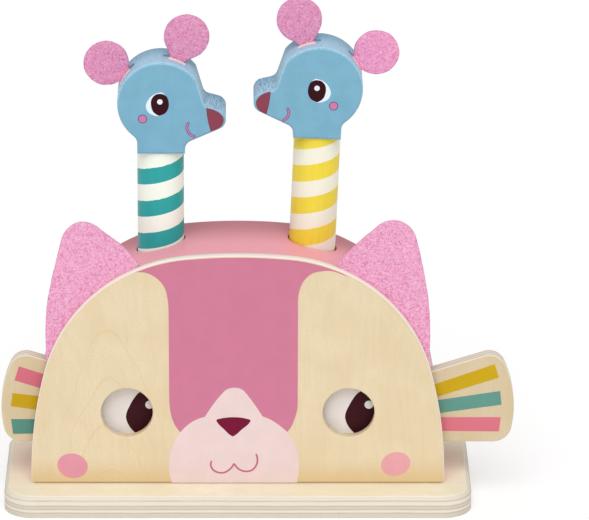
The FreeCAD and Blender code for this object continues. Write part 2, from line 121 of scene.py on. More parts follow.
def shade(colour, factor):
    """The colour made darker or lighter by a factor."""
    return tuple(min(1, channel * factor) for channel in colour[:3]) + (1,)


def drawn_out(along, draw):
    """The stretch of a texture that changes slower along one axis."""
    return [draw if axis == along else 1.0 for axis in (X, Y, Z)]


class Finish:
    """A material, with short calls for the nodes that its look is made of. Places are in millimetres."""

    def __init__(self, name, roughness, gloss=0.25, coat=0.0, sheen=0.0, metallic=0.0):
        self.material = bpy.data.materials.new(name)
        self.material.use_nodes = True
        self.tree = self.material.node_tree
        self.shader = self.tree.nodes["Principled BSDF"]
        settings = {
            "Roughness": roughness,
            "Specular IOR Level": gloss,
            "Coat Weight": coat,
            "Sheen Weight": sheen,
            "Metallic": metallic,
        }
        for socket, value in settings.items():
            self.shader.inputs[socket].default_value = value
        metres = self.node("ShaderNodeTexCoord").outputs["Object"]
        self.place = self.vector("MULTIPLY", metres, (1 / MM,) * 3)[0]
        self.axes = self.node("ShaderNodeSeparateXYZ", {0: self.place}).outputs

    def node(self, kind, values=None, **settings):
        made = self.tree.nodes.new(kind)
        for key, value in settings.items():
            setattr(made, key, value)
        for socket, value in (values or {}).items():
            self.feed(made.inputs[socket], value)
        return made

    def feed(self, socket, value):
        if isinstance(value, bpy.types.NodeSocket):
            self.tree.links.new(value, socket)
        else:
            socket.default_value = value

    def math(self, operation, *values):
        return self.node("ShaderNodeMath", dict(enumerate(values)), operation=operation).outputs[0]

    def vector(self, operation, first, second):
        return self.node("ShaderNodeVectorMath", {0: first, 1: second}, operation=operation).outputs

    def stretched(self, stretch):
        """The place with its axes scaled, so that a texture on it is drawn out."""
        return self.vector("MULTIPLY", self.place, stretch)[0]

    def apart(self, place):
        """The distance from a place whose depth is 0, seen along Y."""
        return self.vector("DISTANCE", self.stretched((1, 0, 1)), place)["Value"]

    def noise(self, scale, detail=2.0, stretch=(1, 1, 1), distortion=0.0):
        """Noise of 0 to 1 with about this many features in a millimetre."""
        place = self.stretched(stretch)
        values = {"Vector": place, "Scale": scale, "Detail": detail, "Distortion": distortion}
        return self.node("ShaderNodeTexNoise", values).outputs["Fac"]

    def sway(self, value, reach):
        """A value of 0 to 1 as a shift to both sides, this much from end to end."""
        return self.math("MULTIPLY", self.math("SUBTRACT", value, 0.5), reach)

    def step(self, value, low, high, to_low=0.0, to_high=1.0, kind="SMOOTHSTEP"):
        """Rise between two limits of the value, smooth unless another kind is given."""
        values = {"Value": value, "From Min": low, "From Max": high, "To Min": to_low, "To Max": to_high}
        return self.node("ShaderNodeMapRange", values, interpolation_type=kind).outputs[0]

    def between(self, value, low, high, soft):
        """1 between the limits and 0 outside them, each limit this soft."""
        rise = self.step(value, low - soft / 2, low + soft / 2)
        return self.math("MULTIPLY", rise, self.step(value, high - soft / 2, high + soft / 2, 1.0, 0.0))

    def mix(self, share, first, second):
        return self.node("ShaderNodeMix", {0: share, 6: first, 7: second}, data_type="RGBA").outputs[2]

    def blend(self, ground, colour, value, low, high, share=1.0):
        """The ground, turning to the colour by up to this share as the value rises between two limits."""
        return self.mix(self.step(value, low, high, 0.0, share), ground, colour)

    def bump(self, height, depth):
        """Surface relief: a height of 0 to 1 stands for this depth in millimetres."""
        made = self.node("ShaderNodeBump", {"Height": height, "Distance": depth * MM, "Strength": 1.0})
        self.feed(self.shader.inputs["Normal"], made.outputs[0])

    def colour(self, value):
        self.feed(self.shader.inputs["Base Color"], value)

    def roughness(self, value):
        self.feed(self.shader.inputs["Roughness"], value)


# ---- wood
face_wood = rgb(233, 215, 180)
base_wood = rgb(245, 237, 213)
paddle_wood = rgb(220, 201, 166)
inner_wood = rgb(226, 205, 166)
base_edge_cream = rgb(237, 229, 212)
# paler and pinker than the other plies' edges: painted light on the face panel's lit top edge
panel_edge_lit_cream = rgb(255, 246, 240)
glue_line_brown = rgb(176, 150, 120)
yellowing = (1, 0.97, 0.91, 1)  # what warmer clouds leave of each channel

wood_roughness = 0.5
grain_draw = 0.035  # how much slower the grain changes along its own direction
figure_draw = grain_draw * 6
figure_scale = 0.05  # scales: about this many features in a millimetre
fibre_scale = 1.3
pore_scale = 1.1
cloud_scale = 0.04
fleck_scale = 0.9
ring_turns = 45.0  # how close the rings in the figure lie
fleck_strength = 0.5  # strengths: how far a feature changes the colour under it
ring_strength = 0.19
fibre_strength = 0.16
pore_strength = 0.18


def wood_grain(finish, along, colour):
    """Birch: soft figure, fine fibres and a few short dark pores, drawn out along one axis."""
    stretch = drawn_out(along, grain_draw)
    figure = finish.noise(figure_scale, 3.0, drawn_out(along, figure_draw), 0.8)
    rings = finish.math("SINE", finish.math("MULTIPLY", figure, ring_turns))
    fibres = finish.noise(fibre_scale, 3.0, stretch)
    pores = finish.noise(pore_scale, 1.0, stretch)
    cloud = finish.noise(cloud_scale, 3.0, distortion=0.6)
    flecks = finish.noise(fleck_scale, 3.0)
    yellowed = tuple(channel * share for channel, share in zip(colour, yellowing))
    wood = finish.blend(shade(colour, 1.04), yellowed, cloud, 0.35, 0.65)
    wood = finish.blend(wood, shade(colour, 0.92), flecks, 0.35, 0.7, fleck_strength)
    wood = finish.blend(wood, shade(colour, 0.86), rings, -1, 1, ring_strength)
    wood = finish.blend(wood, shade(colour, 0.84), fibres, 0.35, 0.75, fibre_strength)
    return finish.blend(wood, shade(colour, 0.55), pores, 0.70, 0.80, pore_strength), fibres


arch_apex = (-68.0, 100.0)  # tip of the widest growth-ring arch on the face, (x, z)
arch_pitch = 26.5  # from one arch's tip to the next one's
arch_narrowness = 12.0  # an arch drops by its half width's square over this
arch_wobble = 14.0  # how far the arches sway to both sides
arch_wobble_scale = 0.03
arch_half_width = 30.0
arch_line = 0.12  # how much of the pitch a ring's late wood takes
arch_strength = 0.5
arch_tint = rgb(222, 198, 146)


def growth_arches(finish):
    """Share of late wood in the nested arches that flat-cut growth rings make left of the blaze."""
    wobble = finish.sway(finish.noise(arch_wobble_scale, 2.0), arch_wobble)
    aside = finish.math("ADD", finish.math("SUBTRACT", finish.axes[X], arch_apex[0]), wobble)
    drop = finish.math("DIVIDE", finish.math("MULTIPLY", aside, aside), arch_narrowness)
    below_apex = finish.math("SUBTRACT", arch_apex[1], finish.math("ADD", finish.axes[Z], drop))
    ring = finish.math("DIVIDE", below_apex, arch_pitch)
    late_wood = finish.step(finish.math("FRACT", ring), 0.0, arch_line, arch_strength, 0.0)
    late_wood = finish.math("MULTIPLY", late_wood, finish.step(ring, -0.02, 0.0))
    reach = finish.math("ABSOLUTE", aside)
    near = finish.step(reach, arch_half_width * 0.7, arch_half_width, 1.0, 0.0)
    return finish.math("MULTIPLY", late_wood, near)


face_skin = 0.2  # how deep the look of a sheet's face goes down its cut edges
glue_line_width = 0.3
line_wander = 0.5  # how far glue lines sway to both sides
line_wander_scale = 0.05
line_break_scale = 0.06  # along a glue line, from paler to darker stretches
speckle_scale = 2.2
ply_softness = 0.04  # of a dark ply's limits, as a share of the thickness
window_radius = 13.8  # of the eye windows
foot_shade_height = 15.0  # height over which painted shade makes the face panel's wood yellower towards its foot
foot_line = (0.8, 1.3)  # heights between which the painted shadow line at the panel's foot fades
foot_shade_colour = rgb(224, 192, 138)
foot_shadow = rgb(140, 114, 74)


def plywood(name, node, across, along, colour, edge_colour, lines, line_strength, foot_shade_share=0.0,
            dark_plies=(), windows=(), arched=False):
    """Plywood whose layers lie across one axis: faces show grain, cut edges show plies and glue lines.

    lines are the glue lines' places, and dark_plies the limits and the tone of each darker ply. Places and
    limits are shares of the sheet's thickness. The foot share sets how strongly painted shade yellows the
    sheet at its foot and darkens a painted shadow line where it meets the board. Round windows, as (x, z),
    are lacquered like the face. An arched sheet shows growth_arches."""
    finish = Finish(name, wood_roughness)
    low, high = box_mm(node)
    thickness = high[across] - low[across]
    grain, fibres = wood_grain(finish, along, colour)
    if arched:
        grain = finish.mix(growth_arches(finish), grain, arch_tint)
    height = finish.axes[Z]
    # painted shade: yellower wood near the panel's foot, and a painted shadow line where it meets the board
    yellowed = finish.step(height, low.z, low.z + foot_shade_height, foot_shade_share, 0.0)
    shadowed = finish.step(height, low.z + foot_line[0], low.z + foot_line[1], foot_shade_share, 0.0)
    grain = finish.mix(shadowed, finish.mix(yellowed, grain, foot_shade_colour), foot_shadow)

    flat_level = finish.step(finish.axes[across], low[across], high[across], kind="LINEAR")
    from_middle = finish.math("ABSOLUTE", finish.math("SUBTRACT", flat_level, 0.5))
    skin = face_skin / thickness
    cut = finish.step(from_middle, 0.5 - 2 * skin, 0.5 - skin, 1.0, 0.0)
    for x, z in windows:
        off_window = finish.step(finish.apart((x, 0, z)), window_radius + 1, window_radius + 2)
        cut = finish.math("MULTIPLY", cut, off_window)

    wander = finish.sway(finish.noise(line_wander_scale, 2.0), line_wander / thickness)
    level = finish.math("ADD", flat_level, wander)
    speckle = finish.noise(speckle_scale, 2.0)
    plies = finish.blend(edge_colour, shade(edge_colour, 0.92), speckle, 0.3, 0.7, 0.5)
    for ply_low, ply_high, tone in dark_plies:
        in_ply = finish.between(level, ply_low, ply_high, ply_softness)
        plies = finish.mix(in_ply, plies, shade(edge_colour, tone))
    look = finish.mix(cut, grain, plies)
    broken = finish.step(finish.noise(line_break_scale, 2.0), 0.3, 0.6, 0.7, 1.0)
    half = glue_line_width / 2 / thickness
    for line in lines:
        away = finish.math("ABSOLUTE", finish.math("SUBTRACT", level, line))
        line_share = finish.math("MULTIPLY", cut, finish.step(away, half, half * 3, line_strength, 0.0))
        look = finish.mix(finish.math("MULTIPLY", line_share, broken), look, glue_line_brown)
    finish.colour(look)
    finish.roughness(finish.step(fibres, 0.3, 0.8, 0.44, 0.56))
    finish.bump(fibres, 0.025)
    return finish.material


def solid_wood(name, along, colour):
    finish = Finish(name, wood_roughness)
    grain, fibres = wood_grain(finish, along, colour)
    finish.colour(grain)
    finish.bump(fibres, 0.03)
    return finish.material


# ---- paint
paint_fibre_scale = 1.4
paint_fibre_draw = 0.05
paint_cloud_scale = 0.12


def paint(name, colour, roughness, gloss=0.25):
    """Paint on wood: hardly cloudy, with the upright grain just showing through."""
    finish = Finish(name, roughness, gloss)
    fibres = finish.noise(paint_fibre_scale, 3.0, drawn_out(Z, paint_fibre_draw))
    cloud = finish.noise(paint_cloud_scale, 3.0)
    mottled = finish.blend(shade(colour, 1.02), shade(colour, 0.98), cloud, 0.3, 0.7)
    finish.colour(finish.blend(mottled, shade(colour, 0.92), fibres, 0.4, 0.8, 0.25))
    finish.bump(fibres, 0.02)
    return finish.material


bright_ink = {"roughness": 0.4}
line_ink = {"roughness": 0.45}
plain_ink = {"roughness": 0.46}
deep_ink = {"roughness": 0.5, "gloss": 0.1}
ink_looks = {
    "blaze_pink_print": (rgb(210, 125, 153), plain_ink),
    "muzzle_print": (rgb(237, 214, 212), plain_ink),
    "nose_print": (rgb(120, 20, 56), deep_ink),
    "mouth_print": (rgb(198, 104, 133), line_ink),
    "cheek_print_left": (rgb(228, 152, 169), plain_ink),
    "cheek_print_right": (rgb(234, 166, 174), plain_ink),
    "eye_white_print": (rgb(244, 238, 235), bright_ink),
    "highlight_print": (rgb(255, 251, 248), bright_ink),
    "pupil_print": (rgb(62, 20, 28), deep_ink),
    "paddle_pink_print": (rgb(222, 118, 134), plain_ink),
    "paddle_mustard_print": (rgb(206, 168, 0), plain_ink),
    "paddle_teal_print": (rgb(97, 154, 140), plain_ink),
    # the left paddle's inks: darker copies of the right paddle's, as painted shade
    "paddle_shaded_pink_print": (rgb(214, 110, 126), plain_ink),
    "paddle_shaded_mustard_print": (rgb(200, 161, 0), plain_ink),
    "paddle_shaded_teal_print": (rgb(86, 142, 130), plain_ink),
    "mouse_white_print": (rgb(232, 244, 252), bright_ink),
    "mouse_pupil_print": (rgb(54, 12, 22), deep_ink),
    "mouse_plum_print": (rgb(120, 72, 128), line_ink),
    "mouse_pink_print": (rgb(204, 126, 168), line_ink),
    "mouse_nose_print": (rgb(138, 62, 80), line_ink),
}
inks = {name: paint(name, colour, **look) for name, (colour, look) in ink_looks.items()}

cover_front_pink = rgb(249, 168, 181)
cover_shaded_back_pink = rgb(203, 124, 136)
cover_fibre_pink = rgb(206, 128, 140)
cover_shade_depth = 40.0  # depth over which painted shade deepens the cover's pink towards its back
cover_cloud_scale = 0.06


def cover_paint():
    """Pink paint, with painted shade that deepens towards the cover's back edge."""
    finish = Finish("cover_pink", 0.42, coat=0.12)
    back_y = box_mm("arch_cover")[1].y
    fibres = finish.noise(paint_fibre_scale, 3.0, drawn_out(X, paint_fibre_draw))
    cloud = finish.noise(cover_cloud_scale, 3.0)
    # painted shade: the pink darkens towards the cover's back edge
    pink = finish.blend(cover_front_pink, cover_shaded_back_pink, finish.axes[Y], back_y - cover_shade_depth, back_y - 4)
    finish.colour(finish.blend(pink, cover_fibre_pink, fibres, 0.4, 0.8, 0.12))
    finish.bump(finish.math("ADD", fibres, cloud), 0.02)
    return finish.material


mouse_blue = rgb(122, 178, 203)
edge_front_sheen_blue = rgb(186, 217, 240)
edge_back_shaded_blue = rgb(142, 182, 206)
edge_paint_and_sheen_share = 0.75  # how far the sawn edge takes those two blues: its paler paint, with painted sheen at the front and painted shade towards the back
dark_streak_blue = rgb(70, 112, 138)
pale_streak_blue = rgb(186, 216, 230)
rubbed_blue = rgb(176, 216, 236)
bare_rim_cream = rgb(255, 244, 236)
slot_shade_blue = rgb(20, 28, 38)
streak_scale = 3.0
streak_stretch = (1, 0.06, 0.3)
rub_scale = 1.6
ear_slot_front = -1.8  # front wall of a mouse's ear slots, from the middle of the head's depth
bare_rim_width = 4.2  # where the paint ends short of that wall
bare_rim_reach = 4.4
slot_reach = 9.0  # how far painted shade reaches inside a slot, about the middle of its ear's foot
slot_shade_strength = (0.0, 1.0)  # at the brow ear and at the rear ear
snout_ridge = 28.0  # the snout's rough upper side lies below this height of the head
skull_radius = 23.0


def mouse_ear_feet(side):
    """The skull's middle and where the ears leave the head, with no depth.

    Each foot is on the line from the skull's middle to the ear's farthest point."""
    name = SIDE_NAMES[side]
    low, high = box_mm(f"mouse_head_{name}")
    skull_x = low.x + skull_radius if side == LEFT else high.x - skull_radius
    skull = Vector((skull_x, 0, high.z - skull_radius))
    feet = []
    for ear in ("brow_ear", "rear_ear"):
        corners = [v.co / MM for v in nodes[f"mouse_{ear}_{name}"].data.vertices]
        tip = max(corners, key=lambda p: math.hypot(p.x - skull.x, p.z - skull.z))
        outward = Vector((tip.x - skull.x, 0, tip.z - skull.z)).normalized()
        feet.append(skull + outward * skull_radius)
    return skull, feet


def mouse_paint(side):
    """Blue paint, paler and streaky on the sawn edge, rubbed off the front rim and before the ears' feet;
    painted sheen and shade on the edge, painted shade inside the ear slots.
    """
    name = SIDE_NAMES[side]
    finish = Finish(f"mouse_blue_{name}", 0.5)
    low, high = box_mm(f"mouse_head_{name}")
    depth, height = finish.axes[Y], finish.axes[Z]
    cloud = finish.noise(paint_cloud_scale, 3.0)
    fine = finish.noise(rub_scale, 2.0)
    coat = finish.blend(shade(mouse_blue, 1.04), shade(mouse_blue, 0.95), cloud, 0.3, 0.7)
    coat = finish.blend(coat, shade(mouse_blue, 0.90), fine, 0.35, 0.75, 0.4)

    # the sawn edge: paler paint, with painted sheen near the front that gives way to painted shade towards
    # the back
    on_edge = finish.between(depth, low.y + 1.0, high.y - 1.0, 0.4)
    edge_paint_and_sheen = finish.blend(edge_front_sheen_blue, edge_back_shaded_blue, depth, low.y + 5, high.y)
    coat = finish.mix(finish.math("MULTIPLY", on_edge, edge_paint_and_sheen_share), coat, edge_paint_and_sheen)
    ridge = low.z + snout_ridge
    rough = finish.math("MULTIPLY", on_edge, finish.step(height, ridge, ridge + 4, 1.0, 0.3))
    streaks = finish.noise(streak_scale, 3.0, streak_stretch)
    dark = finish.math("MULTIPLY", rough, finish.step(streaks, 0.46, 0.62, 0.0, 0.6))
    pale = finish.math("MULTIPLY", rough, finish.step(streaks, 0.28, 0.45, 0.7, 0.0))
    coat = finish.mix(dark, coat, dark_streak_blue)
    coat = finish.mix(pale, coat, pale_streak_blue)

    rim = finish.between(depth, low.y + 0.4, low.y + 2.2, 1.2)
    upper = finish.step(height, ridge - 12, ridge + 6, 0.45, 1.0)
    rubbed = finish.math("MULTIPLY", rim, finish.step(fine, 0.35, 0.6, 0.15, 0.9))
    coat = finish.mix(finish.math("MULTIPLY", rubbed, upper), coat, rubbed_blue)

    wall_y = (low.y + high.y) / 2 + ear_slot_front
    before_slot = finish.between(depth, wall_y - bare_rim_width, wall_y + 0.3, 0.2)
    in_slot = finish.between(depth, wall_y, wall_y - 2 * ear_slot_front, 0.1)
    skull, feet = mouse_ear_feet(side)
    under_rim = finish.step(finish.apart(skull), skull_radius - 0.4, skull_radius - 0.1, 1.0, 0.0)
    in_slot = finish.math("MULTIPLY", in_slot, under_rim)
    for foot, darkness in zip(feet, slot_shade_strength):
        from_foot = finish.apart(foot)
        near = finish.step(from_foot, bare_rim_reach, bare_rim_reach + 0.6, 1.0, 0.0)
        coat = finish.mix(finish.math("MULTIPLY", before_slot, near), coat, bare_rim_cream)
        # painted shade inside the slot, past the ear's foot
        inside = finish.step(from_foot, slot_reach, slot_reach + 0.4, darkness, 0.0)
        coat = finish.mix(finish.math("MULTIPLY", in_slot, inside), coat, slot_shade_blue)
    finish.colour(coat)
    finish.bump(finish.noise(1.2, 3.0), 0.05)
    return finish.material


stripe_pitch = 18.1
stripe_raggedness = 0.045  # of a stripe's upper edge, as a share of the pitch
brush_scale = 0.9
brush_draw = 0.04


def stripe_paint(name, colour, cream, first_edge, share):
    """One spiral stripe round a peg, in the peg's own axes: heights are measured from its top."""
    finish = Finish(name, 0.4)
    x, y, height = finish.axes
    minus_x, minus_y = finish.math("MULTIPLY", x, -1.0), finish.math("MULTIPLY", y, -1.0)
    turn = finish.math("DIVIDE", finish.math("ARCTAN2", minus_y, minus_x), 2 * math.pi)
    rise = finish.math("DIVIDE", finish.math("SUBTRACT", height, first_edge), stripe_pitch)
    phase = finish.math("FRACT", finish.math("SUBTRACT", rise, turn))
    ragged = finish.sway(finish.noise(0.5, 3.0), stripe_raggedness)
    stripe = finish.math("LESS_THAN", finish.math("ADD", phase, ragged), share)
    streaks = finish.noise(brush_scale, 3.0, drawn_out(Z, brush_draw))
    cloud = finish.noise(0.1, 2.0)
    thin = finish.blend(shade(colour, 1.03), shade(colour, 0.97), streaks, 0.35, 0.7)
    thin = finish.blend(thin, shade(colour, 0.94), cloud, 0.35, 0.65, 0.3)
    ground = finish.blend(cream, shade(cream, 0.96), streaks, 0.4, 0.8, 0.3)
    finish.colour(finish.mix(stripe, ground, thin))
    coat_height = finish.math("MULTIPLY", stripe, 0.8)
    brush_height = finish.math("MULTIPLY", streaks, 0.4)
    finish.bump(finish.math("ADD", coat_height, brush_height), 0.03)
    return finish.material


# ---- felt and steel
cat_felt_pink = rgb(250, 182, 214)
mouse_felt_pink = rgb(250, 170, 212)
felt_fine_pink = rgb(230, 142, 185)
felt_fleck_pink = rgb(218, 122, 172)
felt_strand_pink = rgb(255, 204, 228)
felt_swirl_scale = 0.35
felt_fine_scale = 1.4
felt_fleck_scale = 0.9


def felt(name, pink, tone):
    """Wool felt: matted fibres in lighter and darker pinks, all made lighter or darker by the tone."""
    finish = Finish(name, 0.95, gloss=0.0, sheen=0.3)
    body_pink = shade(pink, tone)
    finish.shader.inputs["Sheen Roughness"].default_value = 0.5
    finish.shader.inputs["Sheen Tint"].default_value = shade(body_pink, 1.1)
    swirl = finish.noise(felt_swirl_scale, 2.0)
    fine = finish.noise(felt_fine_scale, 3.0)
    flecks = finish.noise(felt_fleck_scale, 2.0, (1.2, 1, 0.9), 0.6)
    strands = finish.noise(felt_fleck_scale, 2.0, (0.7, 1, 1.4), 0.8)
    colour = finish.blend(shade(body_pink, 1.04), shade(body_pink, 0.96), swirl, 0.3, 0.7)
    colour = finish.blend(colour, shade(felt_fine_pink, tone), fine, 0.40, 0.68, 0.5)
    colour = finish.blend(colour, shade(felt_fleck_pink, tone), flecks, 0.46, 0.68, 0.8)
    colour = finish.blend(colour, shade(felt_strand_pink, tone), strands, 0.50, 0.70, 0.7)
    finish.colour(colour)
    finish.bump(finish.math("ADD", fine, strands), 0.35)
    return finish.material


steel_light = rgb(196, 198, 202)
steel_dark = rgb(150, 152, 156)
steel_streak_scale = 0.8


def steel(name, roughness):
    finish = Finish(name, roughness, metallic=1.0)
    drawn = finish.noise(steel_streak_scale, 3.0, (1, 1, 4))
    finish.colour(finish.mix(drawn, steel_light, steel_dark))
    finish.bump(drawn, 0.01)
    return finish.material


# ---- meshes
same_place = 1e-3  # points of an outline closer than this are one
weld_distance = 0.01  # corners of a CAD mesh closer than this are one
coat_thickness = 0.06  # one printed coat
full_turn = 2 * math.pi


def add_piece(name, mesh, material, body, replaced=()):
    piece = bpy.data.objects.new(name, mesh)
    bpy.context.scene.collection.objects.link(piece)
    mesh.materials.clear()
    mesh.materials.append(material)
    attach(piece, body)
    if replaced:
        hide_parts(*replaced)
    return piece


def smooth(mesh, sharp_angle=35):
    mesh.shade_smooth()
    mesh.set_sharp_from_angle(angle=math.radians(sharp_angle))


def mesh_of(name, shape):
    """The finished mesh of a bmesh, in metres, from one in millimetres."""
    bmesh.ops.recalc_face_normals(shape, faces=shape.faces)
    mesh = bpy.data.meshes.new(name)
    shape.to_mesh(mesh)
    shape.free()
    mesh.transform(Matrix.Scale(MM, 4))
    return mesh


def spline(points, steps=8):
    """A smooth line through the points, ends included. The nearer neighbour counts more for its slopes."""
    places = [Vector(point) for point in points]
    gaps = [(after - before).length for before, after in zip(places, places[1:])]
    slopes = [(places[i + 1] - places[i]) / gap for i, gap in enumerate(gaps)]
    inner = [
        (slopes[i] * gaps[i + 1] + slopes[i + 1] * gaps[i]) / (gaps[i] + gaps[i + 1])
        for i in range(len(slopes) - 1)
    ]
    first = slopes[0] * 1.5 - inner[0] * 0.5 if inner else slopes[0]
    last = slopes[-1] * 1.5 - inner[-1] * 0.5 if inner else slopes[0]
    tangents = [first] + inner + [last]
    line = []
    for i, gap in enumerate(gaps):
        start_handle = places[i] + tangents[i] * gap / 3
        end_handle = places[i + 1] - tangents[i + 1] * gap / 3
        line += interpolate_bezier(places[i], start_handle, end_handle, places[i + 1], steps + 1)[:-1]
    return line + places[-1:]


def outline(*strokes):
    """A closed outline of smooth strokes. A straight line joins each stroke's end to the next one's start."""
    points = []
    for stroke in strokes:
        for point in spline(stroke):
            if not points or (point - points[-1]).length > same_place:
                points.append(point)
    if (points[0] - points[-1]).length < same_place:
        points.pop()
    return points


def arc(centre, radius, start, end, steps):
    """Points of an arc, angles in degrees, anticlockwise from +X."""
    turns = [math.radians(start + (end - start) * i / steps) for i in range(steps + 1)]
    return [Vector((centre[0] + radius * math.cos(t), centre[1] + radius * math.sin(t))) for t in turns]


def ellipse(centre, half_width, half_height, tilt=0.0, steps=64):
    """Points of an ellipse, its tilt in degrees anticlockwise."""
    tilting = Matrix.Rotation(math.radians(tilt), 2)
    turns = [full_turn * i / steps for i in range(steps)]
    upright = [Vector((half_width * math.cos(t), half_height * math.sin(t))) for t in turns]
    return [Vector(centre) + tilting @ point for point in upright]


def ribbon(points, width):
    """The outline of a line of this width with round ends."""
    left, right = [], []
    for i, point in enumerate(points):
        ahead = points[min(i + 1, len(points) - 1)] - points[max(i - 1, 0)]
        side = Vector((-ahead.y, ahead.x)).normalized() * width / 2
        left.append(point + side)
        right.append(point - side)
    start_angle = math.degrees(math.atan2(*(left[0] - points[0]).yx))
    end_angle = math.degrees(math.atan2(*(right[-1] - points[-1]).yx))
    start_cap = arc(points[0], width / 2, start_angle, start_angle + 180, 8)[1:-1]
    end_cap = arc(points[-1], width / 2, end_angle, end_angle + 180, 8)[1:-1]
    return right + end_cap + left[::-1] + start_cap


def printed(name, points, face_y, ink, body, coats=1):
    """A printed shape: its outline in X and Z, standing some coats proud of a face that looks along -Y."""
    shape = bmesh.new()
    front = [shape.verts.new((p[0], face_y - coats * coat_thickness, p[1])) for p in points]
    back = [shape.verts.new((p[0], face_y, p[1])) for p in points]
    for corners in tessellate_polygon([[Vector((p[0], p[1], 0)) for p in points]]):
        a, b, c = (points[i] for i in corners)
        clockwise = (b[0] - a[0]) * (c[1] - a[1]) < (b[1] - a[1]) * (c[0] - a[0])
        shape.faces.new([front[i] for i in (reversed(corners) if clockwise else corners)])
    for i in range(len(points)):
        following = (i + 1) % len(points)
        shape.faces.new((front[i], front[following], back[following], back[i]))
    add_piece(name, mesh_of(name, shape), inks[ink], body)


def lathe(name, profile, sides=96):
    """A solid turned about Z from its profile of (radius, height), which starts and ends on the axis."""
    shape = bmesh.new()
    turns = [full_turn * i / sides for i in range(sides)]
    rings = []
    for radius, height in profile:
        around = turns if radius else turns[:1]
        places = [(radius * math.cos(t), radius * math.sin(t), height) for t in around]
        rings.append([shape.verts.new(place) for place in places])
    for below, above in zip(rings, rings[1:]):
        for i in range(sides):
            corners = [below[i % len(below)], below[(i + 1) % len(below)]]
            corners += [above[(i + 1) % len(above)], above[i % len(above)]]
            shape.faces.new(list(dict.fromkeys(corners)))
    mesh = mesh_of(name, shape)
    smooth(mesh)
    return mesh


def dress(node, material, rounding=0.0):
    """Gives a CAD node its finish, and rounds its edges for the render: its own mesh stays as it is."""
    piece = nodes[node]
    piece.data.materials.clear()
    piece.data.materials.append(material)
    if rounding:
        weld = piece.modifiers.new("weld", "WELD")
        weld.merge_threshold = weld_distance * MM
        bevel = piece.modifiers.new("bevel", "BEVEL")
        bevel.width = rounding * MM
        bevel.segments = 2
        bevel.limit_method = "ANGLE"
        bevel.angle_limit = math.radians(30)
        bevel.harden_normals = True


# ---- the cat's face on the panel
panel_low = box_mm("front_panel")[0]
panel_face_y = panel_low.y
rim_start = 60  # the panel's rim is read from this height of it upwards
face_margin = 0.3  # the printed shapes stop just short of the face's rounded rim


def panel_rim():
    """The face panel's upper outline as (x, z), left to right, read from the frame."""
    upper = {}
    for vertex in nodes["front_panel"].data.vertices:
        corner = vertex.co / MM
        if abs(corner.y - panel_face_y) < weld_distance and corner.z > panel_low.z + rim_start:
            x = round(corner.x, 2)
            upper[x] = max(corner.z, upper.get(x, 0))
    return sorted(upper.items())


blaze_left_foot = [(-30.7, 41.5), (-33.1, 44.8), (-35.0, 49.1), (-36.2, 55.0), (-36.6, 62.5)]
blaze_left = [(-36.7, 108), (-37.2, 117), (-38.7, 123.4), (-42.6, 128.6), (-48.6, 131.9), (-54, 132.3)]
blaze_right = [
    (58.4, 129.5), (54.6, 131.2), (50.1, 132.8), (44.7, 132.8), (39.3, 131.5), (35, 127.5), (32.6, 121.8),
    (31.9, 112),
]
blaze_right_foot = [(31.9, 62), (31.4, 53.2), (30.1, 48.6), (28.4, 44.5), (26.3, 41.7)]
muzzle_left = [(-35.4, 12.6), (-36.5, 16.9), (-36.9, 21.6), (-36.5, 27.5), (-35.1, 33.3), (-32.9, 38.3)]
muzzle_left_top = [(-32.9, 38.3), (-30.7, 41.5), (-26.9, 45.6), (-22.5, 48.6), (-17.6, 50.4)]
muzzle_dome = [
    (-17.6, 50.4), (-8.3, 63.7), (-6.5, 65.6), (-4.5, 66.6), (-1.8, 67.0), (0.9, 66.6), (3.1, 65.3),
    (4.5, 63.6), (13.2, 50.6),
]
muzzle_right = [
    (13.2, 50.6), (17.8, 48.6), (22.7, 45.0), (26.3, 41.7), (29.3, 37.1), (31.5, 31.6), (32.7, 24.5),
]
muzzle_right_foot = [(32.7, 24.5), (32.6, 18.7), (31.6, 12.6)]
muzzle_foot = [muzzle_right_foot[-1], muzzle_left[0]]
nose_top = [(-11.0, 49.0), (-6.7, 49.9), (-2.3, 50.2), (2.0, 49.9), (6.3, 48.9)]
nose_right = [(6.3, 48.9), (6.8, 48.2), (6.3, 47.2), (2.0, 43.1), (-1.9, 39.6), (-2.7, 39.2)]
nose_left = [(-2.7, 39.2), (-3.5, 39.6), (-7.2, 43.1), (-10.9, 47.2), (-11.4, 48.3), (-11.0, 49.0)]
mouth_left = [
    (-14.2, 24.8), (-14.5, 22.8), (-13.3, 20.1), (-10.5, 18.5), (-7.5, 18.4), (-4.5, 20.1), (-2.0, 23.6),
]
mouth_right = [(-2.0, 23.6), (0.4, 20.5), (4.2, 19.1), (7.5, 19.8), (9.9, 22.8), (10.5, 26.3), (9.9, 28.8)]
mouth_width = 0.95
cat_cheeks = {  # centre, half width, half height and tilt
    LEFT: ((-88.5, 22.3), 8.2, 7.0, -14),
    RIGHT: ((84.5, 23.3), 8.0, 6.7, 18),
}


def cat_face():
    """The printed blaze, muzzle, nose, mouth and cheeks."""
    top = [
        Vector((x, z - face_margin)) for x, z in panel_rim() if blaze_left[-1][0] < x < blaze_right[0][0]
    ]
    blaze = outline(blaze_left_foot, blaze_left) + top + outline(blaze_right, blaze_right_foot)
    muzzle = outline(
        muzzle_left, muzzle_left_top, muzzle_dome, muzzle_right, muzzle_right_foot, muzzle_foot
    )
    mouth = spline(mouth_left)[:-1] + spline(mouth_right)
    shapes = [
        ("blaze_print", blaze, "blaze_pink_print", 1),
        ("muzzle_print", muzzle, "muzzle_print", 2),
        ("nose_print", outline(nose_top, nose_right, nose_left), "nose_print", 3),
        ("mouth_print", ribbon(mouth, mouth_width), "mouth_print", 3),
    ]
    for name, points, ink, coats in shapes:
        printed(name, points, panel_face_y, ink, "root", coats)
    for side, cheek in cat_cheeks.items():
        name = f"cheek_print_{SIDE_NAMES[side]}"
        printed(name, ellipse(*cheek), panel_face_y, name, "root")


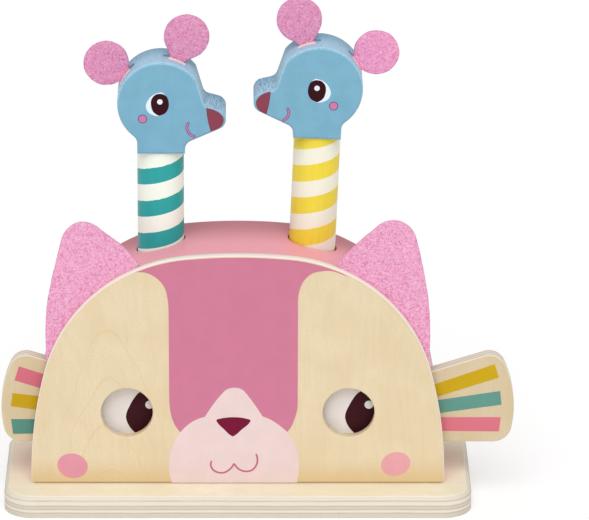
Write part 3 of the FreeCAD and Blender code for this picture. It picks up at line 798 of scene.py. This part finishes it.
# ---- eyes and stripes on the slider
slider_face_y = box_mm("eye_slider")[0].y
eye_places = {LEFT: -59.15, RIGHT: 59.15}
eye_height = 52.5
white_half_height = 15.2
white_reach = 14.6  # painted white beyond the window's centre
pupil_places = {LEFT: (-47.4, 47.3), RIGHT: (69.9, 47.3)}
pupil_half = [
    (0, 16.2), (-2.6, 15.3), (-5.4, 13.6), (-8.4, 9.9), (-10.5, 6.0), (-12.1, 2.2), (-12.5, -0.3),
    (-12.0, -2.8), (-10.4, -6.2), (-8.2, -8.8), (-5.4, -10.9), (0, -13.2),
]
highlight_place = (0.2, 6.7)
highlight_radius = 2.3
paddle_stripes = [  # ink and corners, from the left paddle's top to the right paddle's foot
    ("paddle_shaded_pink_print", [(-116.8, 75.9), (-103.1, 71.3), (-105.2, 63.3), (-119.3, 67.9)]),
    ("paddle_shaded_mustard_print", [(-120.5, 60.6), (-106.5, 58.9), (-107.6, 51.1), (-121.4, 53.1)]),
    ("paddle_shaded_teal_print", [(-121.4, 45.7), (-108.6, 45.7), (-109.4, 37.4), (-120.5, 37.2)]),
    ("paddle_mustard_print", [(105.0, 65.6), (137.0, 77.1), (139.4, 69.5), (106.6, 58.5)]),
    ("paddle_teal_print", [(107.0, 56.6), (140.2, 61.8), (141.0, 54.0), (108.1, 49.2)]),
    ("paddle_pink_print", [(108.5, 46.8), (140.8, 46.8), (139.9, 38.6), (109.4, 38.9)]),
]


def slider_prints():
    """The cat's eyes, seen through the windows, and the paddles' stripes."""
    travel = travel_mm("eye_slide")
    low, high = eye_height - white_half_height, eye_height + white_half_height
    for side, name in SIDE_NAMES.items():
        near, far = eye_places[side] - white_reach, eye_places[side] + white_reach + travel
        patch = [Vector(corner) for corner in ((near, low), (far, low), (far, high), (near, high))]
        centre = Vector(pupil_places[side])
        left_half = [centre + Vector(p) for p in pupil_half]
        right_half = [centre + Vector((-x, z)) for x, z in reversed(pupil_half)]
        spot = ellipse(centre + Vector(highlight_place), highlight_radius, highlight_radius)
        shapes = [
            ("eye_white", patch, 1),
            ("pupil", outline(left_half, right_half), 2),
            ("highlight", spot, 3),
        ]
        for part, points, coats in shapes:
            printed(f"{part}_{name}", points, slider_face_y, f"{part}_print", "eyes", coats)
    for number, (ink, corners) in enumerate(paddle_stripes, 1):
        points = [Vector(corner) for corner in corners]
        printed(f"paddle_stripe_{number}", points, slider_face_y, ink, "eyes")


# ---- felt ears
felt_voxel = 0.6
felt_relax_factor = 0.5
felt_relax_rounds = 4
felt_fibre_depth = 0.10
felt_fibre_scale = 0.9
felt_wave_depth = 0.16
felt_wave_scale = 0.16


def felt_ear(node, body, material):
    """The CAD ear as cut felt: rounded edges, matted surface and a slightly wavy outline."""
    shape = bmesh.new()
    shape.from_mesh(nodes[node].data)
    bmesh.ops.remove_doubles(shape, verts=shape.verts, dist=weld_distance * MM)
    mesh = bpy.data.meshes.new(node + "_felt")
    shape.to_mesh(mesh)
    shape.free()
    piece = add_piece(node + "_felt", mesh, material, body, (node,))
    remesh = piece.modifiers.new("remesh", "REMESH")
    remesh.mode = "VOXEL"
    remesh.voxel_size = felt_voxel * MM
    relax = piece.modifiers.new("relax", "SMOOTH")
    relax.factor = felt_relax_factor
    relax.iterations = felt_relax_rounds
    graph = bpy.context.evaluated_depsgraph_get()
    finished = bpy.data.meshes.new_from_object(piece.evaluated_get(graph))
    piece.modifiers.clear()
    piece.data = finished
    for vertex in finished.vertices:
        place = vertex.co / MM
        fibre = noise.noise(place * felt_fibre_scale) * felt_fibre_depth
        wave = noise.noise(place * felt_wave_scale) * felt_wave_depth
        vertex.co += vertex.normal * (fibre + wave) * MM
    finished.materials.clear()
    finished.materials.append(material)
    smooth(finished, 180)
    return piece


cat_ear_tone = 0.98
mouse_ear_tones = {
    "brow_ear_left": 0.86,
    "rear_ear_left": 0.86,
    "brow_ear_right": 0.86,
    "rear_ear_right": 0.98,
}
cat_ear_foot = Vector((53.0, 133.5))  # the straight inner side's ends, from the toy's middle
cat_ear_shoulder = Vector((72.5, 155.5))
trim_depth = 14.0  # how far from its edge the felt gives way
foot_swell = 0.3  # the bulge starts this share of the side below the foot
tip_heights = (138, 158)  # the tip drops more and more between these
shrink_heights = (105, 145)  # and the outer side shrinks more and more between these
shrink_margin = 4.0  # full shrinking from here to the outer edge
cat_ear_trims = {  # the inner side's bulge, the tip's drop, the outer side's shrinking
    LEFT: {"bulge": 1.7, "drop": 1.8, "shrink": 2.0},
    RIGHT: {"bulge": 1.1, "drop": 1.0, "shrink": 0.8},
}


def ramp(value, low, high):
    """Smooth rise from 0 to 1 between two limits of the value."""
    share = min(max((value - low) / (high - low), 0), 1)
    return share * share * (3 - 2 * share)


def trim_cat_ear(piece, side):
    """Hand-cut look of a cat's ear: a bulging inner side, a lower tip and a slimmer outer side."""
    trim = cat_ear_trims[side]
    run = cat_ear_shoulder - cat_ear_foot
    along = run.normalized()
    outward = Vector((-along.y, along.x))
    outer_x = max(abs(vertex.co.x) for vertex in piece.data.vertices) / MM
    for vertex in piece.data.vertices:
        place = Vector((abs(vertex.co.x), vertex.co.z)) / MM
        height = (place - cat_ear_foot).dot(along) / run.length
        depth = -(place - cat_ear_foot).dot(outward)
        swell = math.sin(math.pi * (min(max(height, 0), 1) + foot_swell) / (1 + foot_swell))
        bulge = trim["bulge"] * swell * (1 - ramp(depth, 0, trim_depth))
        outer = ramp(place.x, outer_x - 2 * trim_depth, outer_x - shrink_margin)
        move = outward * bulge
        move.y -= trim["drop"] * ramp(place.y, *tip_heights)
        move.x -= trim["shrink"] * ramp(place.y, *shrink_heights) * outer
        vertex.co.x += move.x * MM * side
        vertex.co.z += move.y * MM


# ---- pegs and springs
peg_edge = 0.8  # radius of a peg's rounded ends
pilot_radius = 1.75  # of the collar screw's bore
peg_looks = {  # first_edge is a stripe's foot below the peg's top, share its part of the pitch
    # the left peg's cream is tinted green: painted bounce light from its teal stripe
    LEFT: {"colour": rgb(44, 166, 164), "cream": rgb(249, 254, 241), "first_edge": -20.8, "share": 0.49},
    RIGHT: {"colour": rgb(244, 220, 68), "cream": rgb(248, 244, 224), "first_edge": -27.8, "share": 0.51},
}
wire_thickness = 1.4
wire_turns = 7
wire_end_turns = 0.75  # closed turns at each end
wire_turn_steps = 24


def striped_peg(side):
    """The peg turned finely, with the bores of its dowel and its collar screw."""
    name = SIDE_NAMES[side]
    low, high = box_mm(f"peg_{name}")
    lean = peg_lean(name)
    radius = (high.y - low.y) / 2
    length = (high.z - low.z - 2 * radius * math.sin(lean)) / math.cos(lean)
    dowel_low, dowel_high = box_mm(f"neck_dowel_{name}")
    bore_radius = (dowel_high.y - dowel_low.y) / 2
    bore_foot = length - (high.z - dowel_low.z)
    pilot_depth = box_mm(f"collar_screw_{name}")[1].z - low.z
    profile = [(0, pilot_depth), (pilot_radius, pilot_depth), (pilot_radius, 0)]
    profile += [(p.x, p.y) for p in arc((radius - peg_edge, peg_edge), peg_edge, -90, 0, 4)]
    profile += [(p.x, p.y) for p in arc((radius - peg_edge, length - peg_edge), peg_edge, 0, 90, 4)]
    profile += [(bore_radius, length), (bore_radius, bore_foot), (0, bore_foot)]
    profile = [(r, z - length) for r, z in profile]
    mesh = lathe(f"striped_peg_{name}", profile)
    mesh.materials.append(stripe_paint(f"striped_paint_{name}", **peg_looks[side]))
    piece = bpy.data.objects.new(f"striped_peg_{name}", mesh)
    bpy.context.scene.collection.objects.link(piece)
    middle = (low + high) / 2
    along = Vector((math.sin(lean), 0, math.cos(lean)))
    piece.location = (middle + along * length / 2) * MM
    piece.rotation_euler = (0, lean, 0)
    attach(piece, f"{name}_mouse")
    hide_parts(f"peg_{name}")


def wire_curve(name, low, high):
    """A spring's wire, wound between two corners with closed turns at both ends."""
    curve = bpy.data.curves.new(name, "CURVE")
    curve.dimensions = "3D"
    curve.bevel_depth = wire_thickness / 2 * MM
    curve.bevel_resolution = 2
    curve.use_fill_caps = True
    coil_radius = (high.x - low.x - wire_thickness) / 2
    centre = (low + high) / 2
    foot, top = low.z + wire_thickness / 2, high.z - wire_thickness / 2
    free_turns = wire_turns - 2 * wire_end_turns
    steps = wire_turns * wire_turn_steps
    line = curve.splines.new("POLY")
    line.points.add(steps)
    for i in range(steps + 1):
        turned = wire_turns * i / steps
        free = min(max((turned - wire_end_turns) / free_turns, 0), 1)
        closed = min(turned, wire_end_turns) + max(turned - wire_turns + wire_end_turns, 0)
        rise = (top - foot - 2 * wire_end_turns * wire_thickness) * free + closed * wire_thickness
        x = centre.x + coil_radius * math.cos(full_turn * turned)
        y = centre.y + coil_radius * math.sin(full_turn * turned)
        line.points[i].co = (x * MM, y * MM, (foot + rise) * MM, 1)
    return curve


def spring_wire(side, material):
    """A coil of round wire with closed ends."""
    name = SIDE_NAMES[side]
    low, high = box_mm(f"spring_{name}")
    holder = bpy.data.objects.new("spring_curve", wire_curve(f"spring_wire_{name}", low, high))
    bpy.context.scene.collection.objects.link(holder)
    graph = bpy.context.evaluated_depsgraph_get()
    mesh = bpy.data.meshes.new_from_object(holder.evaluated_get(graph))
    bpy.data.objects.remove(holder)
    smooth(mesh, 60)
    piece = add_piece(f"spring_wire_{name}", mesh, material, "root", (f"spring_{name}",))
    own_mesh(piece)


# ---- the mice's faces
# places on a mouse's face: forward of the peg's axis, and above the head's underside
eye_white_back = [
    (1.2, 34.4), (-3.0, 33.3), (-6.1, 30.3), (-7.4, 26.4), (-6.1, 23.4), (-3.6, 21.8), (-0.4, 21.2),
]
eye_white_front = [(-0.4, 21.2), (2.4, 22.6), (4.4, 26.0), (4.3, 30.4), (1.2, 34.4)]
mouse_pupil_back = [(1.0, 33.6), (-1.9, 33.3), (-4.3, 30.8), (-4.7, 27.5), (-3.3, 23.4), (-0.4, 21.4)]
mouse_pupil_front = [(-0.4, 21.4), (2.7, 22.9), (4.5, 25.9), (4.6, 29.2), (3.3, 32.4), (1.0, 33.6)]
mouse_highlight = (0.0, 29.2)
mouse_highlight_radius = 1.45
mouse_cheek = (-9.2, 19.7)
mouse_cheek_radius = 2.45
cheek_ring = 0.45
mouse_smiles = {
    LEFT: [(14.9, 17.1), (14.2, 14.9), (14.9, 12.5), (16.5, 10.7), (18.0, 10.1)],
    RIGHT: [(16.6, 16.3), (16.0, 14.1), (16.5, 11.9), (17.7, 10.5), (18.6, 10.0)],
}
smile_width = 1.5
smile_edge = 0.35
nose_patches = {
    LEFT: [(24.4, 25.8), (28.8, 24.6), (31.8, 22.7), (33.5, 20.2), (33.4, 17.6), (32.0, 15.4), (26.7, 12.9)],
    RIGHT: [(26.0, 25.6), (29.5, 24.4), (32.0, 22.5), (33.4, 20.0), (33.3, 17.8), (32.1, 15.4), (27.7, 12.9)],
}
nose_hollow = 0.4  # how far the nose's back edge curves in
mouse_art_shift = {LEFT: (0, 0), RIGHT: (1.7, -0.8)}


def mouse_face(side):
    """The mouse's printed eye, cheek, smile and nose, on the face of its leaning head."""
    name = SIDE_NAMES[side]
    face_y = box_mm(f"mouse_head_{name}")[0].y
    peg_low, peg_high = box_mm(f"peg_{name}")
    lean = peg_lean(name)
    radius = (peg_high.y - peg_low.y) / 2
    neck = Vector((peg_high.x - radius * math.cos(lean), peg_high.z - radius * math.sin(lean)))
    forward = Vector((math.cos(lean), -math.sin(lean))) * -side
    upward = Vector((math.sin(lean), math.cos(lean)))

    def shifted(points):
        return [Vector(p) + Vector(mouse_art_shift[side]) for p in points]

    cheek = ellipse(mouse_cheek, mouse_cheek_radius, mouse_cheek_radius)
    cheek_inner = ellipse(mouse_cheek, mouse_cheek_radius - cheek_ring, mouse_cheek_radius - cheek_ring)
    smile = spline(mouse_smiles[side])
    spot = ellipse(mouse_highlight, mouse_highlight_radius, mouse_highlight_radius)
    nose = nose_patches[side]
    nose_middle = (Vector(nose[0]) + Vector(nose[-1])) / 2 - Vector((nose_hollow, 0))
    shapes = [
        ("eye_white", shifted(outline(eye_white_back, eye_white_front)), "mouse_white_print", 1),
        ("pupil", shifted(outline(mouse_pupil_back, mouse_pupil_front)), "mouse_pupil_print", 2),
        ("highlight", shifted(spot), "mouse_white_print", 3),
        ("cheek_ring", shifted(cheek), "mouse_plum_print", 1),
        ("cheek", shifted(cheek_inner), "mouse_pink_print", 2),
        ("smile_edge", ribbon(smile, smile_width), "mouse_plum_print", 1),
        ("smile", ribbon(smile, smile_width - 2 * smile_edge), "mouse_pink_print", 2),
        ("nose", outline(nose, [nose[-1], nose_middle, nose[0]]), "mouse_nose_print", 1),
    ]
    for part, points, ink, coats in shapes:
        placed = [neck + forward * p[0] + upward * p[1] for p in points]
        printed(f"mouse_{part}_{name}", placed, face_y, ink, f"{name}_mouse", coats)


# ---- stage
floor_size = 24  # metres
floor_cells = 8
sun_strength = 1.58
sky_strength = 0.53
sun_direction = (0.03, 0.74, -0.95)
sun_softness = 48  # degrees across
white = (1, 1, 1, 1)
backdrop_white = 0.96
backdrop_seen = 0.60  # the camera sees the floor's shadows paler: less of its white,
backdrop_lift = 0.455  # and this much added


def make_stage():
    """White floor, an even white sky and one broad soft lamp from the front."""
    bpy.ops.mesh.primitive_grid_add(x_subdivisions=floor_cells, y_subdivisions=floor_cells, size=floor_size)
    floor = bpy.context.object
    floor.name = "floor"
    finish = Finish("floor_white", 0.9)
    ray = finish.node("ShaderNodeLightPath").outputs
    mirrored = finish.math("MAXIMUM", ray["Is Glossy Ray"], ray["Is Transmission Ray"])
    seen = finish.math("MAXIMUM", ray["Is Camera Ray"], mirrored)
    finish.colour(finish.mix(seen, shade(white, backdrop_white), shade(white, backdrop_seen)))
    finish.shader.inputs["Emission Color"].default_value = white
    finish.feed(finish.shader.inputs["Emission Strength"], finish.math("MULTIPLY", seen, backdrop_lift))
    floor.data.materials.append(finish.material)

    world = bpy.data.worlds.new("sky")
    world.use_nodes = True
    background = world.node_tree.nodes["Background"]
    background.inputs["Color"].default_value = white
    background.inputs["Strength"].default_value = sky_strength
    bpy.context.scene.world = world

    lamp = bpy.data.lights.new("sun", "SUN")
    lamp.energy = sun_strength
    lamp.angle = math.radians(sun_softness)
    sun = bpy.data.objects.new("sun", lamp)
    sun.rotation_euler = Vector(sun_direction).to_track_quat("-Z", "Y").to_euler()
    bpy.context.scene.collection.objects.link(sun)


# ---- the whole toy
base_glue_lines = (0.257, 0.42, 0.59, 0.815)
base_dark_plies = ((0.03, 0.257, 0.80), (0.42, 0.59, 0.80), (0.815, 1.1, 0.90))
sheet_glue_lines = (0.22, 0.5, 0.78)
board_rounding = 1.0
sheet_rounding = 0.25
back_rounding = 0.2
head_rounding = 0.6
planed_names = (
    "divider_panel", "front_strip", "slider_rail", "peg_guide_shelf", "glue_block", "foot_collar",
    "spring_post",
)
turned_names = ("neck_dowel", "slider_stop_pin")
screw_names = ("base_screws", "collar_screw")


def dress_box():
    """The board, the face, the cover and the slider, which stand in the open."""
    windows = [(x, eye_height) for x in eye_places.values()]
    base_ply = plywood(
        "base_ply", "base_board", Z, X, base_wood, base_edge_cream, base_glue_lines, 0.5,
        dark_plies=base_dark_plies,
    )
    panel_ply = plywood(
        "panel_ply", "front_panel", Y, Z, face_wood, panel_edge_lit_cream, sheet_glue_lines, 0.2, 0.7,
        windows=windows, arched=True,
    )
    slider_ply = plywood(
        "slider_ply", "eye_slider", Y, Z, paddle_wood, base_edge_cream, sheet_glue_lines, 0.7
    )
    back_ply = plywood("back_ply", "back_panel", Y, Z, face_wood, base_edge_cream, sheet_glue_lines, 0.7)
    dress("base_board", base_ply, board_rounding)
    dress("front_panel", panel_ply, sheet_rounding)
    dress("eye_slider", slider_ply, sheet_rounding)
    dress("back_panel", back_ply, back_rounding)
    dress("arch_cover", cover_paint())


def dress_inside():
    """Rails, panels and turned pieces of plain beech, and the screws."""
    finishes = {
        planed_names: solid_wood("planed_beech", X, inner_wood),
        turned_names: solid_wood("turned_beech", Z, inner_wood),
        screw_names: steel("screw_steel", 0.35),
    }
    for name in nodes:
        for starts, material in finishes.items():
            if name.startswith(starts):
                dress(name, material)


make_camera()
make_stage()
dress_box()
dress_inside()
cat_face()
slider_prints()
cat_felt = felt("cat_felt", cat_felt_pink, cat_ear_tone)
spring_steel = steel("spring_steel", 0.28)
for side, name in SIDE_NAMES.items():
    trim_cat_ear(felt_ear(f"cat_ear_{name}", "root", cat_felt), side)
    for ear in (f"brow_ear_{name}", f"rear_ear_{name}"):
        mouse_felt = felt(f"mouse_{ear}_felt", mouse_felt_pink, mouse_ear_tones[ear])
        felt_ear(f"mouse_{ear}", f"{name}_mouse", mouse_felt)
    dress(f"mouse_head_{name}", mouse_paint(side), head_rounding)
    mouse_face(side)
    striped_peg(side)
    spring_wire(side, spring_steel)

bpy.context.scene.view_settings.view_transform = "Standard"
